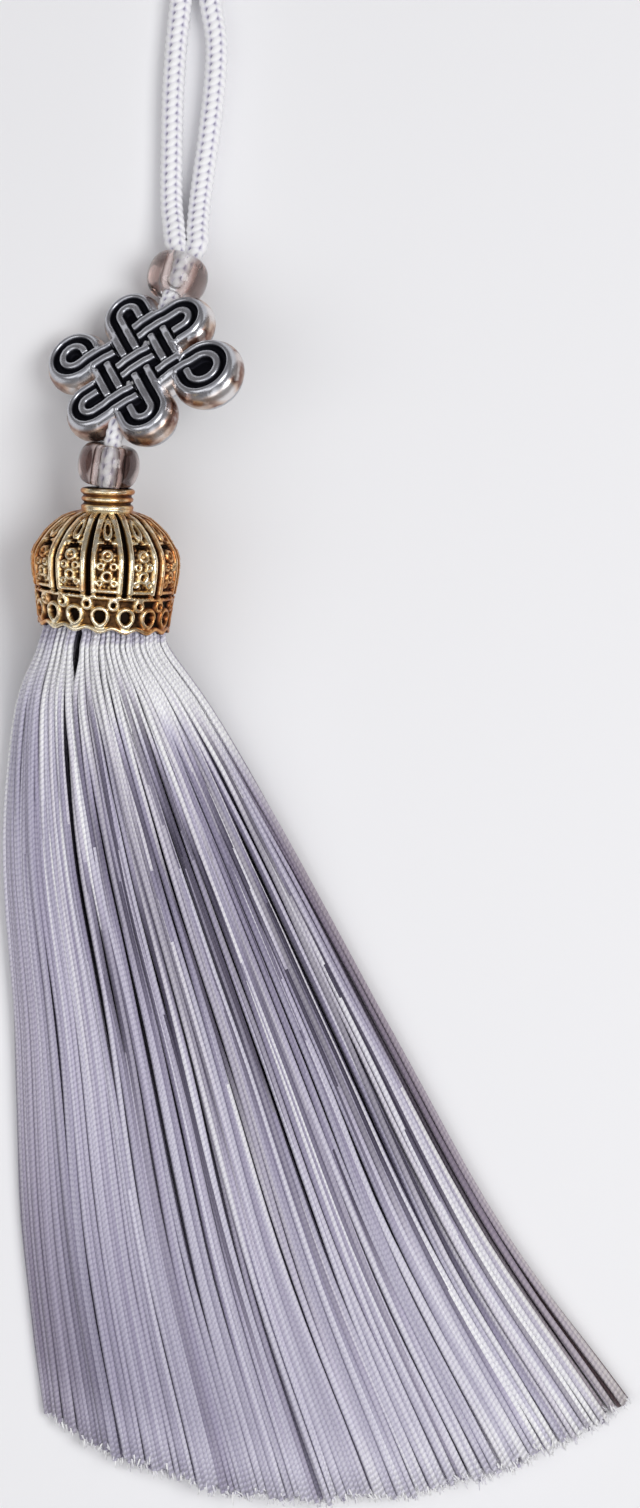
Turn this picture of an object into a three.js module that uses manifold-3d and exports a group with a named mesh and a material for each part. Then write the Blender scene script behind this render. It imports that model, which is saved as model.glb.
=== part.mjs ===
// A Chinese knot tassel laid on its side: a braided hanging loop, a glass bead, a silver
// knot charm, a second glass bead, a gilt crown cap and a long silk fringe spread as a fan.
// Millimetres, +Z up, the loop towards +Y and the fringe towards -Y, resting on z = 0.
import * as THREE from 'three';
import * as BufferGeometryUtils from 'three/addons/utils/BufferGeometryUtils.js';
import Module from 'manifold-3d';

const wasm = await Module();
wasm.setup();

// Cord, and the bore that it runs through in every hard piece
const BORE_R = 1.1;
const CORE_R = 0.8;
const LOOP_R = 1.1;
const LOOP_STEPS = 168;
const CORE_STEPS = 24;
const CORD_SIDES = 8;
const STITCH_PITCH = 1.1;
const STITCH_RISE = 0.09;

// Glass beads
const BEAD_R = 3.0;
const BEAD_HALF = 2.0;
const BEAD_FACE_R = 1.6;
const TOP_BEAD_AT = new THREE.Vector3(-14.1, 59.5, 3.3);
const LOW_BEAD_AT = new THREE.Vector3(-20.5, 40.42, 9.0);

// Knot charm
const KNOT_AT = new THREE.Vector3(-17.48, 50.0, 7.0);
const KNOT_SHALLOW = new THREE.Vector3(0.846, 0.53, 0.089);
const KNOT_STEEP = new THREE.Vector3(-0.384, 0.712, -0.588);
const BAND_PITCH = 3.25;
const BAND_W = 1.9;
const KNOT_HALF = 1.75;
const PLATE_HALF = 1.25;
const GROOVE_W = 0.7;
const GROOVE_DEEP = 0.4;
const LOBE_REACH = 5.85;
const LEFT_CURL_AT = 5.1;
const LEFT_CURL_R = LEFT_CURL_AT - BAND_PITCH;
const RIGHT_CURL_AT = 5.45;
const RIGHT_CURL_R = RIGHT_CURL_AT - BAND_PITCH;
const ARC_STEPS = 8;
const BEND_LEAD = 0.3;
const DIVE_GAP = 0.12;
const BORE_LENGTH = 40;
const FACE_TOLERANCE = 0.004;

// Crown cap
const CAP_AT = new THREE.Vector3(-21.2, 24.25, 6.5);
const CAP_AXIS = new THREE.Vector3(0.04, 0.991, 0.13).normalize();
const PETALS = 12;
const SCALLOPS = 16;
const CAP_COLUMNS = 48;
const PETAL_DEEP = 0.6;
const SCALLOP_DEEP = 0.45;

// Fringe
const FRINGE_COLUMNS = 29;
const LAYER_HEIGHT = 1.35;
const LOCK_FILL = 0.82;
const LOCK_TAPER = 0.62;
const TIP_UNEVEN = 0.05;
const HEAD_R = 4.9;

// Each row of the fan is a cut across it: its left and right ends, how far its middle hangs
// past the line between them, how far it leans back as it rises, and its lower and upper
// heights at the ends and in the middle.
const FAN_ROWS = [
  { leftX: -25.7, leftY: 25.9, rightX: -16.4, rightY: 25.8, bulge: 0, lean: 0.13,
    lowEnd: 6.4, lowMid: 2.1, highEnd: 7.0, highMid: 11.3 },
  { leftX: -26.3, leftY: 23.8, rightX: -15.9, rightY: 23.7, bulge: 0, lean: 0.13,
    lowEnd: 6.1, lowMid: 1.3, highEnd: 6.8, highMid: 11.6 },
  { leftX: -27.5, leftY: 22.8, rightX: -14.8, rightY: 22.6, bulge: 0, lean: 0.13,
    lowEnd: 5.6, lowMid: 0.2, highEnd: 6.8, highMid: 12.4 },
  { leftX: -30.4, leftY: 16.5, rightX: -10.2, rightY: 16.1, bulge: 0.8, lean: 0,
    lowEnd: 0.9, lowMid: 0, highEnd: 2.6, highMid: 8.4 },
  { leftX: -31.4, leftY: 2.7, rightX: -2.4, rightY: 2.3, bulge: 1.5, lean: 0,
    lowEnd: 0, lowMid: 0, highEnd: 1.2, highMid: 6.2 },
  { leftX: -30.4, leftY: -14.4, rightX: 7.1, rightY: -14.9, bulge: 3.0, lean: 0,
    lowEnd: 0, lowMid: 0, highEnd: 1.0, highMid: 5.1 },
  { leftX: -29.1, leftY: -33.7, rightX: 18.3, rightY: -34.6, bulge: 5.5, lean: 0,
    lowEnd: 0, lowMid: 0, highEnd: 0.9, highMid: 4.4 },
  { leftX: -26.7, leftY: -53.2, rightX: 31.2, rightY: -52.0, bulge: 9.3, lean: 0,
    lowEnd: 0, lowMid: 0, highEnd: 0.8, highMid: 3.6 },
];

// The crown's outer outline from its neck to its rim. Up is measured from the rim along the axis.
// Petal and scallop say how much of the petals' hollows and of the edge's scallops a ring takes.
const CAP_OUTSIDE = [
  { up: 14.2, r: 2.3, petal: 0, scallop: 0 },
  { up: 13.95, r: 2.67, petal: 0, scallop: 0 },
  { up: 13.6, r: 2.67, petal: 0, scallop: 0 },
  { up: 13.3, r: 2.25, petal: 0, scallop: 0 },
  { up: 12.9, r: 2.67, petal: 0, scallop: 0 },
  { up: 12.3, r: 2.6, petal: 0, scallop: 0 },
  { up: 11.8, r: 1.95, petal: 0, scallop: 0 },
  { up: 11.2, r: 3.5, petal: 0.4, scallop: 0 },
  { up: 10.4, r: 4.9, petal: 1, scallop: 0 },
  { up: 9.1, r: 6.1, petal: 1, scallop: 0 },
  { up: 7.3, r: 7.15, petal: 1, scallop: 0 },
  { up: 3.9, r: 6.85, petal: 1, scallop: 0 },
  { up: 3.3, r: 6.65, petal: 0, scallop: 0 },
  { up: 0, r: 6.2, petal: 0, scallop: 1 },
];
const CAP_INSIDE = [
  { up: 0.1, r: 5.5, petal: 0, scallop: 1 },
  { up: 7.3, r: 6.0, petal: 0, scallop: 0 },
  { up: 9.9, r: 4.2, petal: 0, scallop: 0 },
  { up: 11.0, r: BORE_R, petal: 0, scallop: 0 },
];

// The loop's route, up its left side, round its eye and down its right side
const LOOP_ROUTE = [
  [-14.5, 62.9, 2.6], [-14.65, 64.6, 2.1], [-14.85, 67.6, 1.4], [-14.75, 72.6, 1.2],
  [-14.65, 77.5, 1.2], [-14.35, 82.5, 1.2], [-13.85, 87.5, 1.2], [-13.6, 91.4, 1.2],
  [-14.1, 93.8, 1.2], [-15.55, 95.85, 1.2], [-16.8, 97.7, 1.2], [-17.05, 100.1, 1.2],
  [-16.0, 102.35, 1.2], [-14.0, 103.75, 1.2], [-12.4, 104.0, 1.2], [-10.8, 103.75, 1.2],
  [-8.8, 102.35, 1.2], [-7.75, 100.1, 1.2], [-8.0, 97.7, 1.2], [-9.25, 95.85, 1.2],
  [-10.7, 93.8, 1.2], [-11.2, 91.4, 1.2], [-10.95, 87.5, 1.2], [-10.35, 83.5, 1.2],
  [-10.45, 79.5, 1.2], [-11.0, 74.5, 1.2], [-11.45, 71.1, 1.2], [-11.85, 67.6, 1.4],
  [-11.95, 64.6, 2.1], [-12.0, 62.9, 2.6],
];

const SILVER = new THREE.MeshStandardMaterial({ color: 0xa9a7a2, roughness: 0.3, metalness: 1 });
const GILT = new THREE.MeshStandardMaterial({ color: 0xa8874f, roughness: 0.38, metalness: 1 });
const GLASS = new THREE.MeshStandardMaterial({ color: 0xdfe6e8, roughness: 0.05, metalness: 0 });
const SILK = new THREE.MeshStandardMaterial({ color: 0xc6c0d8, roughness: 0.55, metalness: 0 });
const BRAID = new THREE.MeshStandardMaterial({ color: 0xe4e2ec, roughness: 0.6, metalness: 0 });

// A geometry's points alone, with shared points merged
function bare(geometry) {
  const copy = geometry.clone();
  copy.deleteAttribute('normal');
  copy.deleteAttribute('uv');
  return BufferGeometryUtils.mergeVertices(copy, 1e-4);
}

function toSolid(geometry) {
  const merged = bare(geometry);
  const vertProperties = new Float32Array(merged.attributes.position.array);
  const triVerts = new Uint32Array(merged.index.array);
  return new wasm.Manifold(new wasm.Mesh({ numProp: 3, vertProperties, triVerts }));
}

function fromSolid(solid) {
  const mesh = solid.getMesh();
  const geometry = new THREE.BufferGeometry();
  geometry.setAttribute('position', new THREE.BufferAttribute(mesh.vertProperties, 3));
  geometry.setIndex(new THREE.BufferAttribute(mesh.triVerts, 1));
  return geometry;
}

function named(name, geometry, material) {
  const mesh = new THREE.Mesh(geometry, material);
  mesh.name = name;
  return mesh;
}

function circleShape(radius, sides) {
  const points = [];
  for (let i = 0; i < sides; i += 1) {
    const turn = (2 * Math.PI * i) / sides;
    points.push(new THREE.Vector2(radius * Math.cos(turn), radius * Math.sin(turn)));
  }
  return new THREE.Shape(points);
}

function tubeAlong(curve, radius, steps) {
  return new THREE.ExtrudeGeometry(circleShape(radius, CORD_SIDES), {
    extrudePath: curve, steps, bevelEnabled: false,
  });
}

// Raises the braid's slanting stitches out of a plain tube, two columns leaning apart
function raiseStitches(geometry, curve, steps) {
  const centres = curve.getSpacedPoints(steps);
  const spacing = curve.getLength() / steps;
  const raised = bare(geometry);
  const position = raised.attributes.position;
  const point = new THREE.Vector3();
  const along = new THREE.Vector3();
  for (let i = 0; i < position.count; i += 1) {
    point.fromBufferAttribute(position, i);
    let nearest = 0;
    centres.forEach((centre, k) => {
      if (centre.distanceToSquared(point) < centres[nearest].distanceToSquared(point)) {
        nearest = k;
      }
    });
    const centre = centres[nearest];
    along.subVectors(centres[Math.min(nearest + 1, steps)], centres[Math.max(nearest - 1, 0)]);
    const out = point.clone().sub(centre);
    const side = Math.abs(out.clone().cross(along).z) / (out.length() * along.length());
    const phase = (nearest * spacing) / STITCH_PITCH - side;
    out.multiplyScalar(1 + (STITCH_RISE * Math.cos(2 * Math.PI * phase)) / LOOP_R);
    position.setXYZ(i, centre.x + out.x, centre.y + out.y, centre.z + out.z);
  }
  return raised;
}

// The core runs from inside the crown, through the low bead, the charm and the top bead
function coreCurve() {
  const bore = knotAxis();
  const inCharm = (distance) => KNOT_AT.clone().addScaledVector(bore, distance);
  const inCap = (up) => CAP_AT.clone().addScaledVector(CAP_AXIS, up);
  return new THREE.CatmullRomCurve3([
    inCap(9.4), inCap(11.6), inCap(14), LOW_BEAD_AT, inCharm(-6.9), inCharm(-5.2),
    inCharm(4.8), inCharm(6.6), TOP_BEAD_AT, new THREE.Vector3(-13.35, 62.1, 2.75),
  ]);
}

function coreCord() {
  return named('core_cord', tubeAlong(coreCurve(), CORE_R, CORE_STEPS), BRAID);
}

function hangLoop() {
  const curve = new THREE.CatmullRomCurve3(LOOP_ROUTE.map((row) => new THREE.Vector3(...row)));
  const geometry = raiseStitches(tubeAlong(curve, LOOP_R, LOOP_STEPS), curve, LOOP_STEPS);
  return named('hang_loop', geometry, BRAID);
}

// A rondelle bead: a rounded outer wall and a straight bore, turned about its own axis
function bead(name, centre) {
  const profile = [new THREE.Vector2(BORE_R, -BEAD_HALF)];
  for (let i = 0; i <= 8; i += 1) {
    const turn = -Math.PI / 2 + (Math.PI * i) / 8;
    profile.push(new THREE.Vector2(
      BEAD_FACE_R + (BEAD_R - BEAD_FACE_R) * Math.cos(turn), BEAD_HALF * Math.sin(turn)));
  }
  profile.push(new THREE.Vector2(BORE_R, BEAD_HALF));
  profile.push(profile[0].clone());
  const mesh = named(name, new THREE.LatheGeometry(profile, 20), GLASS);
  mesh.position.copy(centre);
  mesh.quaternion.setFromUnitVectors(new THREE.Vector3(0, 1, 0), tangentNear(centre));
  return mesh;
}

function tangentNear(centre) {
  const curve = coreCurve();
  let best = 0;
  for (let t = 0; t <= 1; t += 0.002) {
    if (curve.getPoint(t).distanceTo(centre) < curve.getPoint(best).distanceTo(centre)) {
      best = t;
    }
  }
  return curve.getTangent(best);
}

function knotAxis() {
  return KNOT_STEEP.clone().add(KNOT_SHALLOW).normalize();
}

// A flat block of the charm, between two heights
function block(shape, low, high) {
  const geometry = new THREE.ExtrudeGeometry(shape, {
    depth: high - low, bevelEnabled: false, curveSegments: ARC_STEPS,
  });
  geometry.translate(0, 0, low);
  return toSolid(geometry);
}

// The ribbon of a given width along flat points
function ribbon(points, width) {
  const left = [];
  const right = [];
  points.forEach((point, i) => {
    const before = points[Math.max(i - 1, 0)];
    const after = points[Math.min(i + 1, points.length - 1)];
    const along = after.clone().sub(before).normalize();
    const side = new THREE.Vector2(-along.y, along.x).multiplyScalar(width / 2);
    left.push(point.clone().add(side));
    right.push(point.clone().sub(side));
  });
  return new THREE.Shape([...right, ...left.reverse()]);
}

function arcPoints(x, y, radius, from, to) {
  const points = [];
  for (let i = 0; i <= ARC_STEPS; i += 1) {
    const turn = from + ((to - from) * i) / ARC_STEPS;
    points.push(new THREE.Vector2(x + radius * Math.cos(turn), y + radius * Math.sin(turn)));
  }
  return points;
}

// The knot's one endless band in its own plane: x runs along the shallow strands and y along
// the steep ones. It passes three times each way, with four side lobes and two corner curls.
function knotPath() {
  const half = BAND_PITCH / 2;
  const right = Math.PI / 2;
  const point = (x, y) => [new THREE.Vector2(x, y)];
  return [
    ...point(BAND_PITCH, 0), ...point(BAND_PITCH, BAND_PITCH),
    ...arcPoints(half, LOBE_REACH, half, 0, 2 * right),
    ...point(0, BAND_PITCH), ...point(0, 0), ...point(0, -BAND_PITCH),
    ...arcPoints(-half, -LOBE_REACH, half, 0, -2 * right),
    ...point(-BAND_PITCH, -BAND_PITCH), ...point(-BAND_PITCH, 0), ...point(-BAND_PITCH, BAND_PITCH),
    ...arcPoints(-LEFT_CURL_AT, LEFT_CURL_AT, LEFT_CURL_R, 0, 3 * right),
    ...point(-BAND_PITCH, BAND_PITCH), ...point(0, BAND_PITCH), ...point(BAND_PITCH, BAND_PITCH),
    ...arcPoints(LOBE_REACH, half, half, right, -right),
    ...point(BAND_PITCH, 0), ...point(0, 0), ...point(-BAND_PITCH, 0),
    ...arcPoints(-LOBE_REACH, -half, half, right, 3 * right),
    ...point(-BAND_PITCH, -BAND_PITCH), ...point(0, -BAND_PITCH), ...point(BAND_PITCH, -BAND_PITCH),
    ...arcPoints(RIGHT_CURL_AT, -RIGHT_CURL_AT, RIGHT_CURL_R, right, -2 * right),
    ...point(BAND_PITCH, -BAND_PITCH), ...point(BAND_PITCH, 0),
  ];
}

// Cuts the endless band where it dives under a crossing strand. A strand that runs along x is
// on top at the middle and at the four corners, and one that runs along y at the other four.
function grooveRuns() {
  const path = knotPath();
  const runs = [];
  let run = [];
  const clear = BAND_W / 2 + DIVE_GAP;
  path.forEach((point, i) => {
    const crossing = Math.abs(point.x) <= BAND_PITCH + 0.01 && Math.abs(point.y) <= BAND_PITCH + 0.01
      && Math.abs(point.x % BAND_PITCH) < 0.01 && Math.abs(point.y % BAND_PITCH) < 0.01;
    const before = path[Math.max(i - 1, 0)];
    const after = path[Math.min(i + 1, path.length - 1)];
    const along = after.clone().sub(before).normalize();
    const alongX = Math.abs(along.x) > Math.abs(along.y);
    const even = (Math.round(point.x / BAND_PITCH) + Math.round(point.y / BAND_PITCH)) % 2 === 0;
    if (crossing && alongX !== even) {
      run.push(point.clone().addScaledVector(along, -clear));
      runs.push(run);
      run = [point.clone().addScaledVector(along, clear)];
    } else {
      run.push(point.clone());
    }
  });
  runs[0] = [...run, ...runs[0].slice(1)];
  return runs.map((points) => points.filter(
    (point, i) => i === 0 || point.distanceTo(points[i - 1]) > 0.05)).filter((points) => points.length > 1);
}

// An arc that runs a little straight at both ends, so that it meets its neighbours squarely
function bend(x, y, radius, from, to) {
  const points = arcPoints(x, y, radius, from, to);
  const lead = BEND_LEAD * Math.sign(to - from);
  const first = new THREE.Vector2(Math.sin(from), -Math.cos(from)).multiplyScalar(lead);
  const last = new THREE.Vector2(-Math.sin(to), Math.cos(to)).multiplyScalar(lead);
  return [points[0].clone().add(first), ...points, points[ARC_STEPS].clone().add(last)];
}

// The same band as straight stretches, lobes and curls, none of which crosses itself
function knotStretches() {
  const half = BAND_PITCH / 2;
  const right = Math.PI / 2;
  const stretches = [
    bend(half, LOBE_REACH, half, 0, 2 * right),
    bend(LOBE_REACH, half, half, right, -right),
    bend(-half, -LOBE_REACH, half, 0, -2 * right),
    bend(-LOBE_REACH, -half, half, right, 3 * right),
    bend(-LEFT_CURL_AT, LEFT_CURL_AT, LEFT_CURL_R, 0, 3 * right),
    bend(RIGHT_CURL_AT, -RIGHT_CURL_AT, RIGHT_CURL_R, right, -2 * right),
  ];
  [
    { at: -BAND_PITCH, low: -LOBE_REACH, high: LEFT_CURL_AT, left: -LOBE_REACH, end: RIGHT_CURL_AT },
    { at: 0, low: -LOBE_REACH, high: LOBE_REACH, left: -LOBE_REACH, end: LOBE_REACH },
    { at: BAND_PITCH, low: -RIGHT_CURL_AT, high: LOBE_REACH, left: -LEFT_CURL_AT, end: LOBE_REACH },
  ].forEach(({ at, low, high, left, end }) => {
    stretches.push([new THREE.Vector2(at, low), new THREE.Vector2(at, high)]);
    stretches.push([new THREE.Vector2(left, at), new THREE.Vector2(end, at)]);
  });
  return stretches;
}

// The charm: a plate with the woven band raised on both faces, a groove along the band's
// middle wherever it lies on top, and a bore for the cord from corner to corner
function knotCharm() {
  const half = BAND_PITCH / 2;
  const plates = [
    ribbon([new THREE.Vector2(-BAND_PITCH, 0), new THREE.Vector2(BAND_PITCH, 0)], 2 * BAND_PITCH),
  ];
  [1, -1].forEach((side) => {
    const near = side * BAND_PITCH;
    const out = side * (LOBE_REACH + half);
    const across = side * half;
    plates.push(ribbon([new THREE.Vector2(across, near), new THREE.Vector2(across, out)], BAND_PITCH));
    plates.push(ribbon([new THREE.Vector2(near, across), new THREE.Vector2(out, across)], BAND_PITCH));
  });
  [[-LEFT_CURL_AT, LEFT_CURL_AT, LEFT_CURL_R], [RIGHT_CURL_AT, -RIGHT_CURL_AT, RIGHT_CURL_R]].forEach(
    ([x, y, radius]) => {
      plates.push(ribbon([new THREE.Vector2(x, y - radius), new THREE.Vector2(x, y + radius)], radius));
    });
  let charm = wasm.Manifold.union([
    ...plates.map((shape) => block(shape, -PLATE_HALF, PLATE_HALF)),
    ...knotStretches().map((points) => block(ribbon(points, BAND_W), -KNOT_HALF, KNOT_HALF)),
  ]);
  const grooves = [];
  grooveRuns().forEach((points) => {
    const shape = ribbon(points, GROOVE_W);
    grooves.push(block(shape, KNOT_HALF - GROOVE_DEEP, KNOT_HALF + 1));
    grooves.push(block(shape, -KNOT_HALF - 1, -KNOT_HALF + GROOVE_DEEP));
  });
  grooves.forEach((groove) => {
    charm = charm.subtract(groove);
  });
  const bore = new THREE.CylinderGeometry(BORE_R, BORE_R, BORE_LENGTH, 16);
  bore.rotateZ(-Math.PI / 4);
  charm = charm.subtract(toSolid(bore));
  const mesh = named('knot_charm', fromSolid(charm.asOriginal().simplify(FACE_TOLERANCE)), SILVER);
  const front = new THREE.Vector3().crossVectors(KNOT_SHALLOW, KNOT_STEEP).normalize();
  const steep = new THREE.Vector3().crossVectors(front, KNOT_SHALLOW).normalize();
  const turn = new THREE.Matrix4().makeBasis(KNOT_SHALLOW.clone().normalize(), steep, front);
  mesh.quaternion.setFromRotationMatrix(turn);
  mesh.position.copy(KNOT_AT);
  return mesh;
}

// The hollow crown: rings round its neck, petals on its dome and a scalloped rim
function crownCap() {
  const rows = [...CAP_OUTSIDE, ...CAP_INSIDE];
  const positions = [];
  rows.forEach((row) => {
    for (let k = 0; k < CAP_COLUMNS; k += 1) {
      const turn = (2 * Math.PI * (k + 0.5)) / CAP_COLUMNS;
      const hollow = Math.max(0, -Math.cos(PETALS * turn));
      const drop = 0.5 + 0.5 * Math.cos(SCALLOPS * turn);
      const r = row.r - PETAL_DEEP * row.petal * hollow;
      positions.push(r * Math.sin(turn), row.up - SCALLOP_DEEP * row.scallop * drop,
        r * Math.cos(turn));
    }
  });
  const index = [];
  rows.forEach((row, j) => {
    const next = (j + 1) % rows.length;
    for (let k = 0; k < CAP_COLUMNS; k += 1) {
      const a = j * CAP_COLUMNS + k;
      const b = j * CAP_COLUMNS + ((k + 1) % CAP_COLUMNS);
      const c = next * CAP_COLUMNS + k;
      const d = next * CAP_COLUMNS + ((k + 1) % CAP_COLUMNS);
      index.push(a, c, b, b, c, d);
    }
  });
  const geometry = new THREE.BufferGeometry();
  geometry.setAttribute('position', new THREE.Float32BufferAttribute(positions, 3));
  geometry.setIndex(index);
  const mesh = named('crown_cap', geometry, GILT);
  mesh.quaternion.setFromUnitVectors(new THREE.Vector3(0, 1, 0), CAP_AXIS);
  mesh.position.copy(CAP_AT);
  return mesh;
}

// A point of the fan: across from -1 at its left to 1 at its right, up from 0 to 1
function fanPoint(row, across, up) {
  const arch = Math.sqrt(1 - across * across);
  const low = row.lowEnd + (row.lowMid - row.lowEnd) * arch;
  const high = row.highEnd + (row.highMid - row.highEnd) * arch;
  const z = low + (high - low) * up;
  const side = (across + 1) / 2;
  const middle = (row.lowMid + row.highMid) / 2;
  return new THREE.Vector3(
    row.leftX + (row.rightX - row.leftX) * side,
    row.leftY + (row.rightY - row.leftY) * side - row.bulge * (1 - across * across)
      - row.lean * (z - middle),
    z,
  );
}

// Spreads the locks' lengths evenly between none and one, with no two neighbours alike
function unevenness(column, layer) {
  const value = Math.abs(Math.sin(12.9 * (column + 1) + 78.2 * (layer + 1))) * 437.5;
  return value - Math.floor(value);
}

// One four-sided lock, from its root to its tip
function lock(column, layer, layers) {
  const positions = [];
  const half = LOCK_FILL / FRINGE_COLUMNS;
  const across = -1 + (2 * (column + 0.5)) / FRINGE_COLUMNS;
  const low = (layer + (layer === 0 ? 0 : 0.5 * (1 - LOCK_FILL))) / layers;
  const high = (layer + 1 - 0.5 * (1 - LOCK_FILL)) / layers;
  const short = TIP_UNEVEN * unevenness(column, layer);
  FAN_ROWS.forEach((row, j) => {
    const corners = [
      [across - half, low], [across + half, low],
      [across + half * LOCK_TAPER, high], [across - half * LOCK_TAPER, high],
    ].map(([u, v]) => fanPoint(row, u, v));
    if (j === FAN_ROWS.length - 1) {
      const above = positions.slice(-4);
      corners.forEach((corner, k) => corner.lerp(above[k], 4 * short));
    }
    positions.push(...corners);
  });
  const index = [0, 2, 1, 0, 3, 2];
  for (let j = 0; j + 1 < FAN_ROWS.length; j += 1) {
    for (let k = 0; k < 4; k += 1) {
      const a = 4 * j + k;
      const b = 4 * j + ((k + 1) % 4);
      index.push(a, b, a + 4, b, b + 4, a + 4);
    }
  }
  const last = 4 * (FAN_ROWS.length - 1);
  index.push(last, last + 1, last + 2, last, last + 2, last + 3);
  const geometry = new THREE.BufferGeometry();
  geometry.setAttribute('position',
    new THREE.Float32BufferAttribute(positions.flatMap((p) => p.toArray()), 3));
  geometry.setIndex(index);
  return toSolid(geometry);
}

// The bound head of the tassel, inside the crown
function fringeHead() {
  const profile = [[0, 1.0], [HEAD_R, 1.0], [HEAD_R, 7.4], [3.2, 8.9], [0, 8.9]];
  const geometry = new THREE.LatheGeometry(profile.map(([r, up]) => new THREE.Vector2(r, up)), 24);
  geometry.applyQuaternion(
    new THREE.Quaternion().setFromUnitVectors(new THREE.Vector3(0, 1, 0), CAP_AXIS));
  geometry.translate(CAP_AT.x, CAP_AT.y, CAP_AT.z);
  return toSolid(geometry);
}

// The fringe: locks that stand apart along their length and are bound together at the head
function fringe() {
  const middle = FAN_ROWS[5];
  const solids = [fringeHead()];
  for (let column = 0; column < FRINGE_COLUMNS; column += 1) {
    const across = -1 + (2 * (column + 0.5)) / FRINGE_COLUMNS;
    const top = fanPoint(middle, across, 1).z;
    const layers = Math.max(1, Math.round(top / LAYER_HEIGHT));
    for (let layer = 0; layer < layers; layer += 1) {
      solids.push(lock(column, layer, layers));
    }
  }
  return named('fringe', fromSolid(wasm.Manifold.union(solids)), SILK);
}

const tassel = new THREE.Group();
tassel.add(
  hangLoop(), coreCord(), bead('bead_top', TOP_BEAD_AT), bead('bead_low', LOW_BEAD_AT),
  knotCharm(), crownCap(), fringe(),
);

// The origin is on the surface, under the middle of all but the loop
const box = new THREE.Box3();
tassel.updateMatrixWorld(true);
tassel.children.filter((mesh) => mesh.name !== 'hang_loop').forEach((mesh) => {
  box.expandByObject(mesh, true);
});
tassel.position.set(-(box.min.x + box.max.x) / 2, -(box.min.y + box.max.y) / 2, -box.min.z);

export default tassel;
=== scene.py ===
import math

import bpy
import numpy as np
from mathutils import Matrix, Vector


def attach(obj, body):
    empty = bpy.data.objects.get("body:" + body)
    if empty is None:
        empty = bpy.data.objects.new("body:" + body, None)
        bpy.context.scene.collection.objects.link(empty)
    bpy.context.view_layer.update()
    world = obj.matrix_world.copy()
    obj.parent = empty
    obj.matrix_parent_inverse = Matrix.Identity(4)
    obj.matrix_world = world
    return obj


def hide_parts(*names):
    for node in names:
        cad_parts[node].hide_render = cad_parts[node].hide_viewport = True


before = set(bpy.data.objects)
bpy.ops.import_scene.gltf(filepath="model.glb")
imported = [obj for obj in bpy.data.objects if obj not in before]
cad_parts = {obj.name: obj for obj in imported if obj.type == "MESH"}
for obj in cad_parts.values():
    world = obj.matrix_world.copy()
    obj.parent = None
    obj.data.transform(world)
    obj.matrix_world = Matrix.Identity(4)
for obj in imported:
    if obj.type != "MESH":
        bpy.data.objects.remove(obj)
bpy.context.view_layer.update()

# The camera looks straight down from 300 mm, as the photograph does. It stands to the right of
# the fringe's upper third, so that the tassel fills the frame's left and its foot.
MM = 0.001
CAMERA_HEIGHT = 300 * MM
CAMERA_OVER = (0.19 * MM, 12.17 * MM)
FRAME_LONG_SIDE_MM = 36.0
LENS_MM = 71.6

camera = bpy.data.objects.new("camera", bpy.data.cameras.new("camera"))
bpy.context.scene.collection.objects.link(camera)
camera.data.sensor_fit = "VERTICAL"
camera.data.sensor_height = FRAME_LONG_SIDE_MM
camera.data.lens = LENS_MM
camera.data.clip_start = 0.01
camera.data.clip_end = 20
camera.location = (*CAMERA_OVER, CAMERA_HEIGHT)
bpy.context.scene.camera = camera


# The hanging loop is a knitted nylon cord, 2.2 mm thick, pale with a cool lilac cast. Its two
# ends run down into the top bead. It is made on a small cord machine as plump stitches in
# columns whose stitches lean in turn to one side and to the other.
LAID = (0.19, -0.228)
LOOP_ROUTE_MM = [
    (-14.3, 62.9, 2.6), (-14.5, 64.6, 2.1), (-14.8, 67.6, 1.4), (-14.75, 72.6, 1.2),
    (-14.65, 77.5, 1.2), (-14.35, 82.5, 1.2), (-13.85, 87.5, 1.2), (-13.6, 91.4, 1.2),
    (-14.1, 93.8, 1.2), (-15.55, 95.85, 1.2), (-16.8, 97.7, 1.2), (-17.05, 100.1, 1.2),
    (-16.0, 102.35, 1.2), (-14.0, 103.75, 1.2), (-12.4, 104.0, 1.2), (-10.8, 103.75, 1.2),
    (-8.8, 102.35, 1.2), (-7.75, 100.1, 1.2), (-8.0, 97.7, 1.2), (-9.25, 95.85, 1.2),
    (-10.7, 93.8, 1.2), (-11.2, 91.4, 1.2), (-10.95, 87.5, 1.2), (-10.35, 83.5, 1.2),
    (-10.45, 79.5, 1.2), (-11.0, 74.5, 1.2), (-11.45, 71.1, 1.2), (-11.9, 67.6, 1.4),
    (-12.15, 64.6, 2.1), (-12.2, 62.9, 2.6),
]
LOOP_RADIUS = 1.1
STITCH_LONG = 0.8
STITCH_COLUMNS = 6
STITCH_PROUD = 0.2
ROUND_STEPS = 30
CORD_STEP = 0.13


def smooth_line(points, spacing):
    """A smooth curve through the points, as points evenly spaced along it, in mm."""
    points = np.array(points, float)
    ends = np.vstack([2 * points[0] - points[1], points, 2 * points[-1] - points[-2]])
    fine = []
    for a, b, c, d in zip(ends[:-3], ends[1:-2], ends[2:-1], ends[3:]):
        t = np.linspace(0, 1, 24, endpoint=False)[:, None]
        fine.append(0.5 * (2 * b + (c - a) * t + (2 * a - 5 * b + 4 * c - d) * t ** 2
                           + (3 * b - a - 3 * c + d) * t ** 3))
    fine = np.vstack([*fine, points[-1:]])
    far = np.concatenate([[0], np.cumsum(np.linalg.norm(np.diff(fine, axis=0), axis=1))])
    even = np.linspace(0, far[-1], int(far[-1] / spacing) + 1)
    return np.column_stack([np.interp(even, far, fine[:, k]) for k in range(3)])


def frames_along(line):
    """The direction of a line at each of its points, and its two sides, one of them kept level."""
    tangent = np.gradient(line, axis=0)
    tangent /= np.linalg.norm(tangent, axis=1)[:, None]
    across = np.cross(tangent, (0, 0, 1.0))
    across /= np.linalg.norm(across, axis=1)[:, None]
    return tangent, across, np.cross(across, tangent)


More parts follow.
